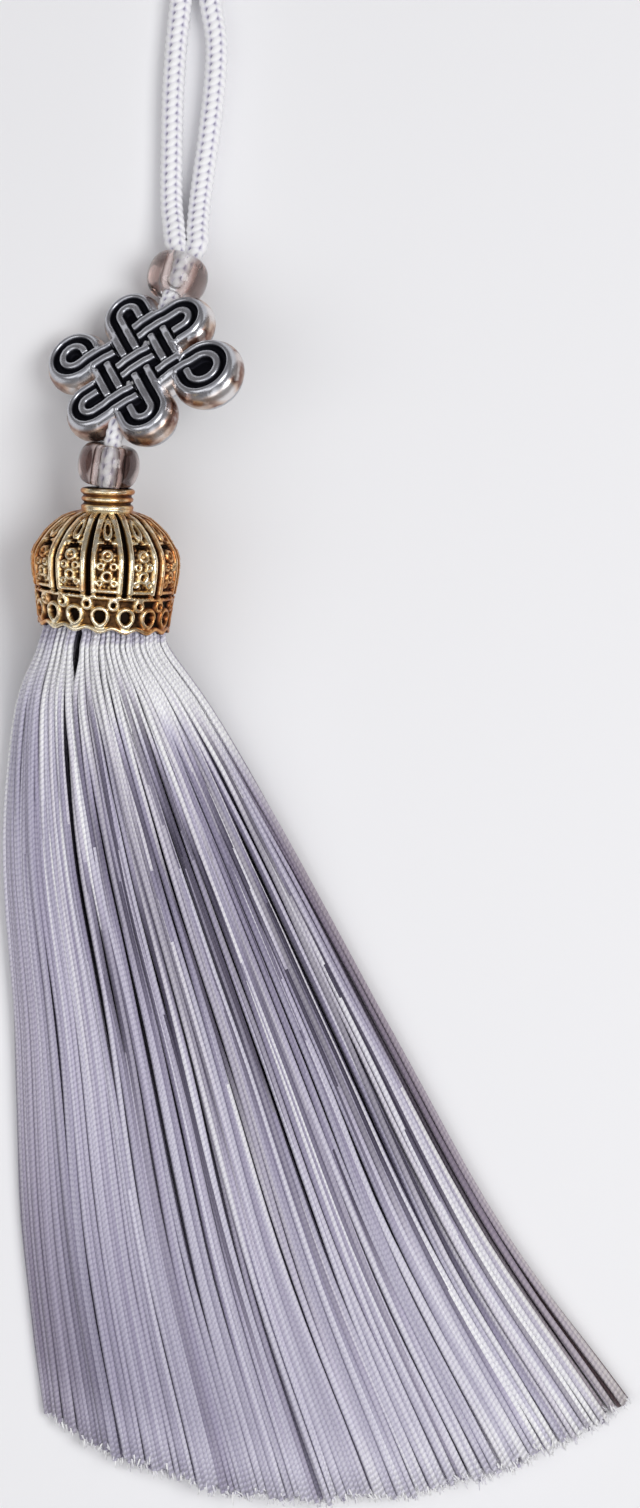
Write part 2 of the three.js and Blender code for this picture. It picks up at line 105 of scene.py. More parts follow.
def mesh_piece(name, points_mm, faces, material):
    """A new smooth object from points in mm and a list of faces."""
    mesh = bpy.data.meshes.new(name)
    mesh.from_pydata((np.asarray(points_mm) * MM).tolist(), [], list(faces))
    mesh.materials.append(material)
    mesh.polygons.foreach_set("use_smooth", [True] * len(mesh.polygons))
    mesh.update()
    piece = bpy.data.objects.new(name, mesh)
    bpy.context.scene.collection.objects.link(piece)
    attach(piece, "root")
    return piece


def grid_faces(rings, around):
    """The four-sided faces between rings of points, each ring joined round on itself."""
    j, k = np.meshgrid(np.arange(rings - 1), np.arange(around), indexing="ij")
    a = j * around + k
    b = j * around + (k + 1) % around
    return np.column_stack([a.ravel(), b.ravel(), (b + around).ravel(), (a + around).ravel()])


def point_values(piece, name, values):
    """Stores one number for each point, for the piece's material to read."""
    layer = piece.data.attributes.new(name, "FLOAT", "POINT")
    layer.data.foreach_set("value", np.asarray(values, np.float32))


def knitted_cord(name, line, radius, material, taper=0.0):
    """A knitted cord: a tube raised into leaning stitches, narrowed at both ends by the taper."""
    _, across, up = frames_along(line)
    far = np.concatenate([[0], np.cumsum(np.linalg.norm(np.diff(line, axis=0), axis=1))])
    s, t = np.meshgrid(far, np.linspace(0, 1, ROUND_STEPS, endpoint=False), indexing="ij")
    column = np.floor(t * STITCH_COLUMNS)
    inside = (t * STITCH_COLUMNS - column) * 2 - 1
    lean = np.where(column % 2 == 0, 1, -1)
    phase = s / STITCH_LONG - 0.32 * lean * inside
    gap = 1 - np.abs(np.sin(np.pi * phase)) ** 0.8
    stitch = 1 - (0.35 + 0.65 * inside ** 2) * gap ** 0.8 - 0.3 * inside ** 4
    reach = radius - STITCH_PROUD + 1.35 * STITCH_PROUD * stitch
    if taper:
        edge = np.minimum(far, far[-1] - far)
        reach = reach * (0.55 + 0.45 * np.clip(edge / taper, 0, 1) ** 0.7)[:, None]
    angle = 2 * math.pi * t
    points = (line[:, None, :] + (reach * np.cos(angle))[..., None] * across[:, None, :]
              + (reach * np.sin(angle))[..., None] * up[:, None, :])
    rings = len(line)
    faces = grid_faces(rings, ROUND_STEPS)[:, ::-1].tolist()
    first_cap = list(range(ROUND_STEPS))
    last_cap = list(range((rings - 1) * ROUND_STEPS, rings * ROUND_STEPS))
    piece = mesh_piece(name, points.reshape(-1, 3), [*faces, first_cap, last_cap[::-1]], material)
    point_values(piece, "plump", stitch.ravel())
    return piece


def new_material(name):
    """A material with its own node tree: the tree, its shader and a function that adds a node."""
    material = bpy.data.materials.new(name)
    material.use_nodes = True
    tree = material.node_tree
    shader = tree.nodes["Principled BSDF"]

    def add(kind, **settings):
        node = tree.nodes.new(kind)
        for key, value in settings.items():
            if isinstance(key, str) and key in node.inputs.keys():
                node.inputs[key].default_value = value
            else:
                setattr(node, key, value)
        return node

    return material, tree, shader, add


def read_values(add, name):
    """The node socket that gives one of a mesh's own stored numbers."""
    return add("ShaderNodeAttribute", attribute_name=name).outputs["Fac"]


def ramp(add, tree, factor, stops):
    """A colour ramp over a factor, from a list of places and colours."""
    node = add("ShaderNodeValToRGB")
    elements = node.color_ramp.elements
    while len(elements) < len(stops):
        elements.new(0.5)
    for element, (place, colour) in zip(elements, stops):
        element.position = place
        element.color = (*colour, 1)
    tree.links.new(factor, node.inputs["Fac"])
    return node.outputs["Color"]


def noise(add, tree, **settings):
    """A noise that runs through a piece's own space."""
    place = add("ShaderNodeTexCoord")
    node = add("ShaderNodeTexNoise", **settings)
    tree.links.new(place.outputs["Object"], node.inputs["Vector"])
    return node.outputs["Fac"]


def raise_grain(add, tree, shader, height, strength, distance):
    """Roughens a finish by a height that the eye sees and the outline doesn't."""
    bump = add("ShaderNodeBump", Strength=strength, Distance=distance)
    tree.links.new(height, bump.inputs["Height"])
    tree.links.new(bump.outputs["Normal"], shader.inputs["Normal"])


def braid_material():
    """Pale nylon, near white on the stitches' backs, with painted shade, lilac grey, in the dips
    between them.
    """
    material, tree, shader, add = new_material("braid_nylon")
    # Painted shade: the dips between the stitches are coloured darker lilac grey.
    colour = ramp(add, tree, read_values(add, "plump"), [
        (0.1, (0.36, 0.34, 0.46)), (0.45, (0.76, 0.74, 0.84)), (0.8, (0.99, 0.99, 1.0))])
    fibres = noise(add, tree, Scale=5200.0, Detail=2.0)
    raise_grain(add, tree, shader, fibres, 0.25, 0.00005)
    tree.links.new(colour, shader.inputs["Base Color"])
    shader.inputs["Roughness"].default_value = 0.5
    shader.inputs["Sheen Weight"].default_value = 0.25
    return material


BRAID = braid_material()
INTO_BEAD = (-13.55, 60.2, 3.05)
loop_line = smooth_line([INTO_BEAD, (-13.9, 61.4, 2.85), *LOOP_ROUTE_MM,
                         (-12.9, 61.4, 2.85), INTO_BEAD], CORD_STEP) + (*LAID, 0)
hanging_loop = knitted_cord("hanging_loop", loop_line, LOOP_RADIUS, BRAID, taper=3.0)
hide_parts("hang_loop")


# The core is the same cord's two ends, pulled thin, threaded through both beads and the charm
# and tied off inside the crown. It shows through the glass and at the charm's two corners.
CORE_RADIUS = 0.85
KNOT_AT = np.array([-17.48, 50.0, 7.0])
KNOT_SHALLOW = np.array([0.846, 0.53, 0.089])
KNOT_STEEP = np.array([-0.384, 0.712, -0.588])
CAP_AT = np.array([-21.2, 24.25, 6.5])
CAP_AXIS = np.array([0.04, 0.991, 0.13])
TOP_BEAD_AT = np.array([-14.1, 59.5, 3.3])
LOW_BEAD_AT = np.array([-20.5, 40.42, 9.0])
KNOT_AXIS = (KNOT_STEEP + KNOT_SHALLOW) / np.linalg.norm(KNOT_STEEP + KNOT_SHALLOW)
CAP_AXIS = CAP_AXIS / np.linalg.norm(CAP_AXIS)

core_line = smooth_line([
    CAP_AT + 9.4 * CAP_AXIS, CAP_AT + 11.6 * CAP_AXIS, CAP_AT + 14 * CAP_AXIS, LOW_BEAD_AT,
    KNOT_AT - 6.9 * KNOT_AXIS, KNOT_AT - 5.2 * KNOT_AXIS, KNOT_AT + 4.8 * KNOT_AXIS,
    KNOT_AT + 6.6 * KNOT_AXIS, TOP_BEAD_AT, (-13.45, 61.6, 2.85)], CORD_STEP) + (*LAID, 0)
core_braid = knitted_cord("core_braid", core_line, CORE_RADIUS, BRAID)
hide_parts("core_cord")


# Two clear glass beads, pressed and polished rondelles about 6 mm across. Each is threaded on
# the core, one above the charm and one on the crown's collar.
BEAD_RADIUS = 3.0
BEAD_HALF = 2.0
BEAD_FACE = 1.6
BEAD_BORE = 1.1
BEAD_AROUND = 72


def turned(outline, around):
    """The points of an outline of (radius, height) pairs turned about the Z axis."""
    angle = np.linspace(0, 2 * math.pi, around, endpoint=False)
    r, z = np.array(outline, float).T
    return np.stack([r[:, None] * np.cos(angle), r[:, None] * np.sin(angle),
                     np.repeat(z[:, None], around, axis=1)], axis=-1)


def closed_faces(rings, around):
    """The faces between rings of points, with the last ring joined back to the first."""
    faces = grid_faces(rings, around).tolist()
    last = (rings - 1) * around
    for k in range(around):
        after = (k + 1) % around
        faces.append([last + k, last + after, after, k])
    return faces


def stand_on(points, at, axis):
    """Turns points from +Z to an axis and moves them to their place on the tassel."""
    turn = Vector((0, 0, 1)).rotation_difference(Vector(axis)).to_matrix()
    return points @ np.array(turn).T + np.asarray(at) + (*LAID, 0)


def smooth_step(value, start, end):
    """0 before the start, 1 past the end and a soft rise between them."""
    t = np.clip((value - start) / (end - start), 0, 1)
    return t * t * (3 - 2 * t)


def glass_material():
    """Clear glass, with painted shade, brown to near black, on the two sides of each bead as seen
    from above.
    """
    material, tree, shader, add = new_material("bead_glass")
    painted_shade_colour = ramp(add, tree, read_values(add, "painted_side_shade"), [
        (0.0, (0.99, 0.99, 0.99)), (0.3, (0.55, 0.38, 0.34)), (0.85, (0.015, 0.005, 0.004))])
    tree.links.new(painted_shade_colour, shader.inputs["Base Color"])
    smears = noise(add, tree, Scale=900.0, Detail=3.0)
    raise_grain(add, tree, shader, smears, 0.06, 0.0001)
    shader.inputs["Roughness"].default_value = 0.02
    shader.inputs["IOR"].default_value = 1.5
    shader.inputs["Transmission Weight"].default_value = 1.0
    return material


GLASS = glass_material()


def glass_bead(name, node, at, side_shade_strength):
    """One rondelle: its round wall, its two flat faces and its bore."""
    outline = [(BEAD_BORE, -BEAD_HALF), (BEAD_FACE, -BEAD_HALF)]
    for turn in np.linspace(-math.pi / 2, math.pi / 2, 29)[1:-1]:
        outline.append((BEAD_FACE + (BEAD_RADIUS - BEAD_FACE) * math.cos(turn) ** 0.75,
                        BEAD_HALF * math.sin(turn)))
    outline += [(BEAD_FACE, BEAD_HALF), (BEAD_BORE, BEAD_HALF), (BEAD_BORE, -BEAD_HALF)]
    points = turned(outline[:-1], BEAD_AROUND)
    rings = len(outline) - 1
    nearest = int(np.argmin(np.linalg.norm(core_line - (at + (*LAID, 0)), axis=1)))
    axis = core_line[nearest + 2] - core_line[nearest - 2]
    points = stand_on(points.reshape(-1, 3), at, axis)
    piece = mesh_piece(name, points, closed_faces(rings, BEAD_AROUND), GLASS)
    flat = [0] * BEAD_AROUND + [1] * ((rings - 3) * BEAD_AROUND) + [0] * (2 * BEAD_AROUND)
    piece.data.polygons.foreach_set("use_smooth", np.array(flat, bool))
    # Painted shade: the glass is coloured darker on the two sides that face sideways as seen from
    # above, in bands along the bore.
    sideways = np.cross(axis / np.linalg.norm(axis), (0, 0, 1.0))
    aside = np.abs((points - at - (*LAID, 0)) @ sideways) / BEAD_RADIUS
    shade_ripple = 0.5 + 0.5 * np.sin(2.2 * (points - at) @ axis / np.linalg.norm(axis) + 1.0)
    painted_side_shade = smooth_step(aside, 0.3, 0.62) * (1 - 0.55 * smooth_step(aside, 0.72, 0.98))
    point_values(piece, "painted_side_shade", side_shade_strength * painted_side_shade * (0.6 + 0.4 * shade_ripple))
    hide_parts(node)


glass_bead("top_bead_glass", "bead_top", TOP_BEAD_AT, 0.6)
glass_bead("low_bead_glass", "bead_low", LOW_BEAD_AT, 1.4)


# The charm is one casting in white metal with an antique silver finish. A single endless band,
# two bright rails with a blackened groove between them, passes three times each way over and
# under itself, with a lobe at the end of each pair and a round curl at two corners.
BAND_PITCH = 3.25
LOBE_REACH = 5.85
LEFT_CURL = 5.1
RIGHT_CURL = 5.45
BAND_EDGE = 1.0
RAIL_TOP = 1.62
RAIL_OUT = 1.12
GROOVE_HALF = 0.27
GROOVE_DEEP = 0.5
PIT_DEEP = 0.7
OVER_RISE = 0.14
UNDER_DIP = 1.1
SHOULDER = 0.55
WALL_SWELL = 0.42
BACK_DEEPER = 0.15
WALL_RINGS = 9
KNOT_STEP = 0.085


def knot_bars():
    """Each straight stretch of the band: whether it runs along x, its place and its two ends."""
    return [
        (True, -BAND_PITCH, -LOBE_REACH, RIGHT_CURL), (False, -BAND_PITCH, -LOBE_REACH, LEFT_CURL),
        (True, 0.0, -LOBE_REACH, LOBE_REACH), (False, 0.0, -LOBE_REACH, LOBE_REACH),
        (True, BAND_PITCH, -LEFT_CURL, LOBE_REACH), (False, BAND_PITCH, -RIGHT_CURL, LOBE_REACH),
    ]


def knot_bends():
    """Each bend of the band: its centre, its radius and the middle and half of its sweep."""
    half = BAND_PITCH / 2
    lobe, curl = math.pi / 2, 3 * math.pi / 4
    return [
        (half, LOBE_REACH, half, math.pi / 2, lobe), (LOBE_REACH, half, half, 0.0, lobe),
        (-half, -LOBE_REACH, half, -math.pi / 2, lobe), (-LOBE_REACH, -half, half, math.pi, lobe),
        (-LEFT_CURL, LEFT_CURL, LEFT_CURL - BAND_PITCH, 3 * math.pi / 4, curl),
        (RIGHT_CURL, -RIGHT_CURL, RIGHT_CURL - BAND_PITCH, -math.pi / 4, curl),
    ]


def rail_profile(away):
    """How far the band lies below its rails: in the groove along it and in the pits beside it."""
    groove = GROOVE_DEEP * (1 - smooth_step(away, GROOVE_HALF - 0.1, GROOVE_HALF + 0.12))
    fall = PIT_DEEP * smooth_step(away, RAIL_OUT - 0.12, RAIL_OUT + 0.12)
    middle = (GROOVE_HALF + RAIL_OUT) / 2
    crown = 0.16 * np.clip(np.abs(away - middle) / (RAIL_OUT - middle), 0, 1) ** 2
    return groove + fall + crown


def knot_relief(x, y, face):
    """The height and the hollowness of one face. On the other face over turns to under."""
    height = np.full(x.shape, RAIL_TOP - PIT_DEEP - 0.16)
    low = np.full(x.shape, PIT_DEEP)
    reach = RAIL_OUT + 0.12
    for along_x, at, start, end in knot_bars():
        run, away = (x, np.abs(y - at)) if along_x else (y, np.abs(x - at))
        rise = np.zeros(x.shape)
        for crossing in (-1, 0, 1):
            even = (crossing + round(at / BAND_PITCH)) % 2 == 0
            near = np.abs(run - crossing * BAND_PITCH)
            if (even == along_x) == (face > 0):
                rise += OVER_RISE * (1 - smooth_step(near, 0.6, 1.6))
            else:
                rise -= UNDER_DIP * (1 - smooth_step(near, RAIL_OUT, RAIL_OUT + 0.3))
        shape = rail_profile(away)
        level = RAIL_TOP + rise - shape
        better = (run >= start) & (run <= end) & (away < reach) & (level > height)
        height = np.where(better, level, height)
        low = np.where(better, shape, low)
    for cx, cy, radius, middle, half_sweep in knot_bends():
        angle = np.arctan2(y - cy, x - cx)
        off = np.abs((angle - middle + math.pi) % (2 * math.pi) - math.pi)
        away = np.abs(np.hypot(x - cx, y - cy) - radius)
        shape = rail_profile(away)
        level = RAIL_TOP - shape
        better = (off <= half_sweep + 0.02) & (away < reach) & (level > height)
        height = np.where(better, level, height)
        low = np.where(better, shape, low)
    within = np.clip(-knot_outside(x, y), 0, None)
    rim = 1 - smooth_step(within, BAND_EDGE - GROOVE_HALF - 0.3, BAND_EDGE - GROOVE_HALF - 0.1)
    to_edge = 1 - np.minimum(within / SHOULDER, 1)
    round_off = SHOULDER * (1 - np.sqrt(1 - to_edge ** 2))
    height = height * (1 - rim) + np.maximum(height, RAIL_TOP - 0.05) * rim - round_off
    low = low * (1 - rim)
    return height, low


def knot_outside(x, y):
    """How far a point lies outside the charm's outline, less than 0 inside it."""
    half = BAND_PITCH / 2
    square = BAND_PITCH + BAND_EDGE
    qx, qy = np.abs(x) - square, np.abs(y) - square
    best = np.hypot(np.maximum(qx, 0), np.maximum(qy, 0)) + np.minimum(np.maximum(qx, qy), 0)
    for side in (1, -1):
        for px, py in ((x, y), (y, x)):
            reach = np.clip(side * py, 0, LOBE_REACH)
            away = np.hypot(px - side * half, py - side * reach)
            best = np.minimum(best, away - half - BAND_EDGE)
    for side, curl in ((-1, LEFT_CURL), (1, RIGHT_CURL)):
        away = np.hypot(x - side * curl, y + side * curl)
        best = np.minimum(best, away - (curl - BAND_PITCH) - BAND_EDGE)
    return best


def knot_slope(x, y):
    """The direction in which a point leaves the outline soonest."""
    step = 0.01
    dx = knot_outside(x + step, y) - knot_outside(x - step, y)
    dy = knot_outside(x, y + step) - knot_outside(x, y - step)
    size = np.maximum(np.hypot(dx, dy), 1e-9)
    return dx / size, dy / size


def casting_age_and_shade(add, tree, grain, share):
    """How dark a casting is at a place: its aged hollows, with any painted shade added to them,
    and a share of a grain.
    """
    spread = add("ShaderNodeMath", operation="MULTIPLY_ADD")
    spread.inputs[1].default_value = share
    tree.links.new(grain, spread.inputs[0])
    tree.links.new(read_values(add, "hollow_and_shade"), spread.inputs[2])
    return spread.outputs[0]


def worn_roughness(add, tree, shader, age_and_shade, polished, dull):
    """Polished where a casting is rubbed bright, dull where it has aged dark and where painted
    shade darkens it.
    """
    rough = add("ShaderNodeMapRange")
    rough.inputs["To Min"].default_value = polished
    rough.inputs["To Max"].default_value = dull
    tree.links.new(age_and_shade, rough.inputs["Value"])
    tree.links.new(rough.outputs[0], shader.inputs["Roughness"])


def blend(add, tree, factor, first, second):
    """A colour between two others."""
    node = add("ShaderNodeMix", data_type="RGBA")
    tree.links.new(factor, node.inputs["Factor"])
    tree.links.new(first, node.inputs["A"])
    tree.links.new(second, node.inputs["B"])
    return node.outputs["Result"]


def silver_material():
    """Antique silver: bright worn rails, black in the hollows, fine scratches and tarnish."""
    material, tree, shader, add = new_material("antique_silver")
    tarnish = noise(add, tree, Scale=420.0, Detail=5.0, Roughness=0.6)
    age_and_shade = casting_age_and_shade(add, tree, tarnish, 0.35)
    face = ramp(add, tree, age_and_shade, [
        (0.12, (0.60, 0.61, 0.64)), (0.36, (0.34, 0.345, 0.385)),
        (0.55, (0.11, 0.11, 0.13)), (0.85, (0.014, 0.014, 0.02))])
    patches = noise(add, tree, Scale=330.0, Detail=3.0)
    wall = ramp(add, tree, patches, [
        (0.36, (0.80, 0.77, 0.76)), (0.5, (0.62, 0.47, 0.38)), (0.62, (0.20, 0.10, 0.075)),
        (0.7, (0.72, 0.66, 0.64))])
    colour = blend(add, tree, read_values(add, "side"), face, wall)
    tree.links.new(colour, shader.inputs["Base Color"])
    raise_grain(add, tree, shader, tarnish, 0.18, 0.00008)
    worn_roughness(add, tree, shader, age_and_shade, 0.2, 0.62)
    shader.inputs["Metallic"].default_value = 0.95
    return material


def knot_casting():
    """The charm's two faces on one grid, clipped to its outline, and the round wall between."""
    reach = 2 * RIGHT_CURL - BAND_PITCH + BAND_EDGE + 2 * KNOT_STEP
    line = np.arange(-reach, reach, KNOT_STEP)
    x, y = np.meshgrid(line, line, indexing="ij")
    outside = knot_outside(x, y)
    inside = outside <= 0
    cell = (inside[:-1, :-1] | inside[1:, :-1] | inside[1:, 1:] | inside[:-1, 1:])
    count = len(line)
    i, j = np.nonzero(cell)
    corners = np.column_stack([i * count + j, (i + 1) * count + j,
                               (i + 1) * count + j + 1, i * count + j + 1])
    used = np.unique(corners)
    x, y, outside = x.ravel()[used], y.ravel()[used], outside.ravel()[used]
    for _ in range(3):
        dx, dy = knot_slope(x, y)
        over = np.maximum(knot_outside(x, y), 0)
        x, y = x - over * dx, y - over * dy
    number = np.full(count * count, -1)
    number[used] = np.arange(len(used))
    corners = number[corners]
    front, front_low = knot_relief(x, y, 1)
    back, back_low = knot_relief(x, y, -1)
    edges = {}
    for face in corners.tolist():
        for a, b in zip(face, face[1:] + face[:1]):
            edges[(a, b)] = True
    rim = [(a, b) for a, b in edges if (b, a) not in edges]
    rim_points = sorted({a for a, _ in rim})
    rim_number = {p: k for k, p in enumerate(rim_points)}
    rx, ry = x[rim_points], y[rim_points]
    dx, dy = knot_slope(rx, ry)
    rings = []
    for step in range(1, WALL_RINGS + 1):
        share = step / (WALL_RINGS + 1)
        swell = WALL_SWELL * math.sin(math.pi * share) ** 0.6
        height = front[rim_points] * (1 - share) - (back[rim_points] + BACK_DEEPER) * share
        rings.append(np.column_stack([rx + swell * dx, ry + swell * dy, height]))
    size = len(used)
    faces = corners.tolist() + (corners[:, ::-1] + size).tolist()
    for a, b in rim:
        ladder = [(a, b)] + [(2 * size + k * len(rim_points) + rim_number[a],
                              2 * size + k * len(rim_points) + rim_number[b])
                             for k in range(WALL_RINGS)] + [(a + size, b + size)]
        for (p, q), (r, s) in zip(ladder[:-1], ladder[1:]):
            faces.append([q, p, r, s])
    points = np.vstack([np.column_stack([x, y, front]),
                        np.column_stack([x, y, -back - BACK_DEEPER]), *rings])
    wall = np.zeros(WALL_RINGS * len(rim_points))
    return points, faces, np.concatenate([front_low, back_low, wall]), size


SILVER = silver_material()
knot_points, knot_faces, knot_low, face_points = knot_casting()
knot_front = np.cross(KNOT_SHALLOW, KNOT_STEEP)
knot_front /= np.linalg.norm(knot_front)
knot_steep = np.cross(knot_front, KNOT_SHALLOW / np.linalg.norm(KNOT_SHALLOW))
knot_turn = np.stack([KNOT_SHALLOW / np.linalg.norm(KNOT_SHALLOW), knot_steep, knot_front])
knot_cast = mesh_piece("knot_cast", knot_points @ knot_turn + KNOT_AT + (*LAID, 0), knot_faces,
                       SILVER)
point_values(knot_cast, "hollow_and_shade", np.clip((knot_low - 0.1) / 0.3, 0, 1))
point_values(knot_cast, "side", np.arange(len(knot_low)) >= 2 * face_points)
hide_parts("knot_charm")


# The crown is a cast cap with an antique gilt finish, bright on its ridges and dark brown in its
# hollows. It has a ringed collar, twelve petals parted by narrow slots and filled with scrolls,
# and a band of ringed holes over a scalloped edge. The tassel's head is glued inside it.
CAP_RIM = 0.9
BAND_TO = 3.87
CAP_OUTLINE = [
    (14.2, 2.1), (14.12, 2.5), (13.9, 2.68), (13.65, 2.62), (13.5, 2.3), (13.38, 2.3),
    (13.25, 2.5), (13.05, 2.56), (12.88, 2.46), (12.76, 2.24), (12.64, 2.26), (12.5, 2.5),
    (12.3, 2.6), (12.12, 2.5), (12.02, 2.5), (11.8, 3.2), (11.35, 4.25), (10.8, 4.95),
    (10.05, 5.75), (9.25, 6.35), (8.4, 6.88), (7.6, 7.15), (6.7, 7.16), (5.6, 7.05),
    (4.45, 6.86), (BAND_TO, 6.7), (2.6, 6.52), (CAP_RIM, 6.28),
]
CAP_INSIDE = [(CAP_RIM, 5.85), (3.4, 6.0), (7.3, 6.4), (10.5, 4.3), (11.6, 2.2), (12.0, 1.2),
              (14.2, 1.2)]
RIM_ASKEW = 0.042
PETALS_FROM = 4.0
PETALS_TO = 11.9
SLOT_DEEP = 0.62
LARGE_HOLES_AT = 2.2
SMALL_HOLES_AT = 3.3
HOLE_DEEP = 0.7
SCALLOP_HANG = 0.4
NECK_REACH = 2.52
CAP_AROUND = 384
CAP_RINGS = 150
PETALS = 12
PETAL_TURN = math.radians(5.4)
SCALLOPS = 16
SCALLOP_TURN = math.radians(0.5)


def dome(distance, radius):
    """A round boss of height 1, 0 beyond its radius."""
    return np.sqrt(np.clip(1 - (distance / radius) ** 2, 0, 1))


def raised_ring(x, y, radius, half_width):
    """A round raised ring of height 1 about the origin of x and y."""
    return dome(np.abs(np.hypot(x, y) - radius), half_width)


def crown_relief(turn, up, radius):
    """How far the crown's surface stands out at a turn round it and a height along it, in mm."""
    from_front = (turn - PETAL_TURN) * PETALS / (2 * math.pi)
    local = from_front - np.round(from_front)
    wide = radius * 2 * math.pi / PETALS
    x = local * wide
    to_slot = (0.5 - np.abs(local)) * wide
    petals = np.clip((up - PETALS_FROM) / 0.2, 0, 1) * np.clip((PETALS_TO - up) / 0.2, 0, 1)
    slot_half = np.clip(0.23 * (radius / 7.0) ** 0.5, 0.1, 0.23)
    slot = np.clip(1.25 - to_slot / slot_half * 0.9, 0, 1)
    border = dome(np.abs(to_slot - slot_half - 0.3), 0.3)
    field = np.clip((to_slot - 0.75) / 0.12, 0, 1)
    flowers = np.zeros(up.shape)
    drop = np.hypot(x / (0.28 + 0.16 * (11.5 - up)), (up - 10.4) / 1.1)
    flowers = np.maximum(flowers, dome(np.abs(drop - 0.7), 0.3) * (up > 9.4))
    flowers = np.maximum(flowers, dome(up - 9.2, 0.17) * (np.abs(x) > 0.35))
    flowers = np.maximum(flowers, raised_ring(x, up - 8.0, 0.46, 0.2))
    flowers = np.maximum(flowers, dome(np.hypot(x, up - 8.0), 0.2))
    flowers = np.maximum(flowers, raised_ring(np.abs(x) - 0.62, up - 7.0, 0.3, 0.17))
    flowers = np.maximum(flowers, raised_ring(x, up - 6.05, 0.45, 0.2))
    flowers = np.maximum(flowers, raised_ring(np.abs(x) - 0.7, up - 5.4, 0.25, 0.16))
    flowers = np.maximum(flowers, dome(up - 4.62, 0.22))
    slit = dome(np.abs(up - 8.8), 0.24) * (np.abs(x) < 0.42)
    cell_x, cell_up = np.floor(x / 0.46), np.floor(up / 0.44)
    petal = np.round(from_front)
    chance = np.sin(cell_x * 12.99 + cell_up * 78.23 + petal * 37.7) * 43758.5
    chance = chance - np.floor(chance)
    bead_x = x - (cell_x + 0.35 + 0.3 * chance) * 0.46
    bead_up = up - (cell_up + 0.65 - 0.3 * chance) * 0.44
    grains = dome(np.hypot(bead_x, bead_up), 0.12 + 0.12 * chance) * (0.4 + 0.6 * chance)
    filled = -0.32 + np.maximum(0.46 * flowers, 0.36 * grains) - 0.3 * slit
    relief = petals * (field * filled + 0.16 * border * (1 - field) - SLOT_DEEP * slot)

    from_hole = (turn - SCALLOP_TURN) * SCALLOPS / (2 * math.pi)
    hole = (from_hole - np.round(from_hole)) * radius * 2 * math.pi / SCALLOPS
    above = (from_hole - 0.5 - np.round(from_hole - 0.5)) * radius * 2 * math.pi / SCALLOPS
    band = np.clip((BAND_TO - up) / 0.15, 0, 1)
    large = np.hypot(hole, up - LARGE_HOLES_AT)
    small = np.hypot(above, up - SMALL_HOLES_AT)
    rings = np.maximum(dome(np.abs(large - 0.72), 0.3), dome(np.abs(small - 0.42), 0.24))
    holes = np.maximum(np.clip((0.58 - large) / 0.1, 0, 1), np.clip((0.26 - small) / 0.08, 0, 1))
    hem = dome(up - CAP_RIM - 0.15, 0.26)
    ground = -0.26 + 0.42 * np.maximum(rings, hem)
    relief += band * (ground * (1 - holes) - HOLE_DEEP * holes)
    relief += 0.12 * dome(up - 3.95, 0.22) - 0.2 * dome(up - 4.3, 0.12)
    return relief


def gilt_material():
    """Antique gilt: yellow gold on the ridges, worn redder in patches, dark brown in hollows, and
    painted shade and reflection, darker and redder, on the crown's sides.
    """
    material, tree, shader, add = new_material("antique_gilt")
    wear = noise(add, tree, Scale=420.0, Detail=4.0, Roughness=0.65)
    grain = noise(add, tree, Scale=2100.0, Detail=3.0)
    age_and_shade = casting_age_and_shade(add, tree, grain, 0.4)
    pale = ramp(add, tree, age_and_shade, [
        (0.14, (1.0, 0.93, 0.74)), (0.33, (0.80, 0.57, 0.25)),
        (0.6, (0.20, 0.095, 0.035)), (0.9, (0.015, 0.008, 0.005))])
    red = ramp(add, tree, age_and_shade, [
        (0.14, (0.80, 0.46, 0.19)), (0.33, (0.45, 0.17, 0.05)),
        (0.6, (0.13, 0.04, 0.016)), (0.9, (0.015, 0.007, 0.004))])
    redder = add("ShaderNodeMath", operation="ADD")
    tree.links.new(wear, redder.inputs[0])
    tree.links.new(read_values(add, "shade_and_reflection"), redder.inputs[1])
    patch = add("ShaderNodeMapRange")
    patch.inputs["From Min"].default_value = 0.5
    patch.inputs["From Max"].default_value = 0.72
    tree.links.new(redder.outputs[0], patch.inputs["Value"])
    colour = blend(add, tree, patch.outputs[0], pale, red)
    tree.links.new(colour, shader.inputs["Base Color"])
    raise_grain(add, tree, shader, grain, 0.3, 0.0001)
    worn_roughness(add, tree, shader, age_and_shade, 0.17, 0.6)
    shader.inputs["Metallic"].default_value = 0.95
    return material


